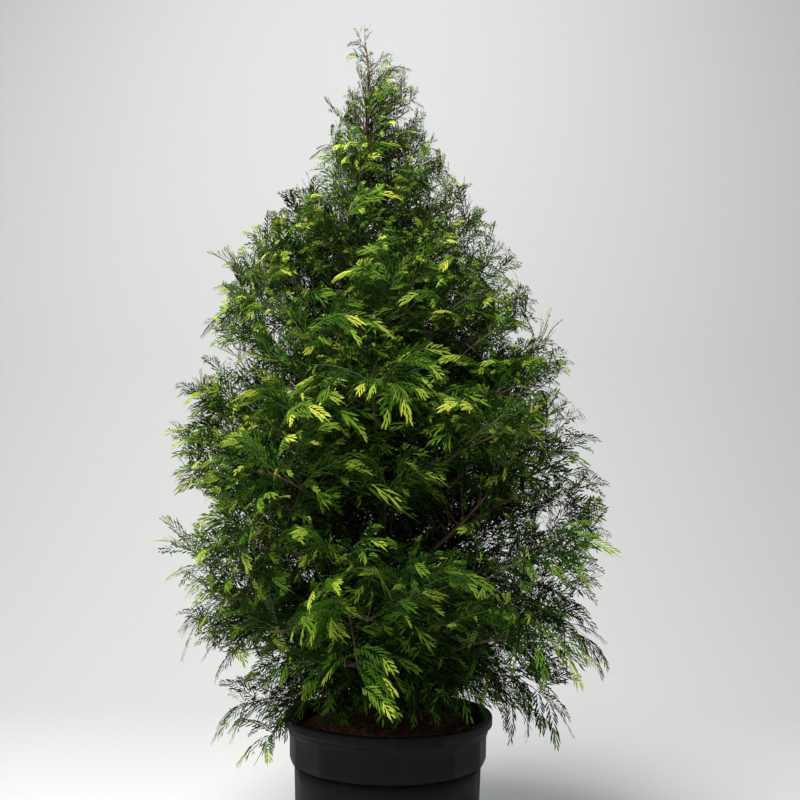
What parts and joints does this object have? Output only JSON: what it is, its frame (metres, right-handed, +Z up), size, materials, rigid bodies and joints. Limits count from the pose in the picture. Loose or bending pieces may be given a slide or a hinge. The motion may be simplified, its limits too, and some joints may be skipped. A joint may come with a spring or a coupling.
{
  "type": "potted thuja",
  "caption": "Young upright conifer with flat fern-like sprays on a slender leaning trunk, standing in a round black plastic nursery pot filled with bark mix.",
  "frame": {"origin": "middle of the pot's flat underside", "axes": "+Z up along the pot's axis; the front, the side seen in the picture, looks along -Y; +X to the viewer's right"},
  "size_m": [0.979, 1.0094, 1.8722],
  "materials": {
    "pot_plastic": "black nursery plastic, matt, dusty, with faint upright streaks",
    "bark_mix": "coarse orange-brown bark chips, dull",
    "bark": "red-brown fibrous bark, matt",
    "foliage": "scale leaves, yellow-green at the tips and dark green inside, low sheen"
  },
  "bodies": {
    "root": {"pot": "pot_plastic", "bark_mix": "bark_mix", "trunk": "bark", "bough_skirt_1": "bark", "bough_skirt_2": "bark", "bough_skirt_3": "bark", "bough_skirt_4": "bark", "bough_skirt_5": "bark", "bough_skirt_6": "bark", "bough_low_1": "bark", "bough_low_2": "bark", "bough_low_3": "bark", "bough_low_4": "bark", "bough_low_5": "bark", "bough_low_6": "bark", "bough_middle_1": "bark", "bough_middle_2": "bark", "bough_middle_3": "bark", "bough_middle_4": "bark", "bough_middle_5": "bark", "bough_high_1": "bark", "bough_high_2": "bark", "bough_high_3": "bark", "bough_high_4": "bark", "bough_shoulder_1": "bark", "bough_shoulder_2": "bark", "bough_shoulder_3": "bark", "bough_shoulder_4": "bark", "bough_shoulder_5": "bark", "foliage_skirt_1": "foliage", "foliage_skirt_2": "foliage", "foliage_skirt_3": "foliage", "foliage_skirt_4": "foliage", "foliage_skirt_5": "foliage", "foliage_skirt_6": "foliage", "foliage_low_1": "foliage", "foliage_low_2": "foliage", "foliage_low_3": "foliage", "foliage_low_4": "foliage", "foliage_low_5": "foliage", "foliage_low_6": "foliage", "foliage_middle_1": "foliage", "foliage_middle_2": "foliage", "foliage_middle_3": "foliage", "foliage_middle_4": "foliage", "foliage_middle_5": "foliage", "foliage_high_1": "foliage", "foliage_high_2": "foliage", "foliage_high_3": "foliage", "foliage_high_4": "foliage", "foliage_shoulder_1": "foliage", "foliage_shoulder_2": "foliage", "foliage_shoulder_3": "foliage", "foliage_shoulder_4": "foliage", "foliage_shoulder_5": "foliage", "foliage_spire_1": "foliage", "foliage_spire_2": "foliage", "foliage_spire_3": "foliage", "foliage_leader_1": "foliage"}
  },
  "joints": []
}
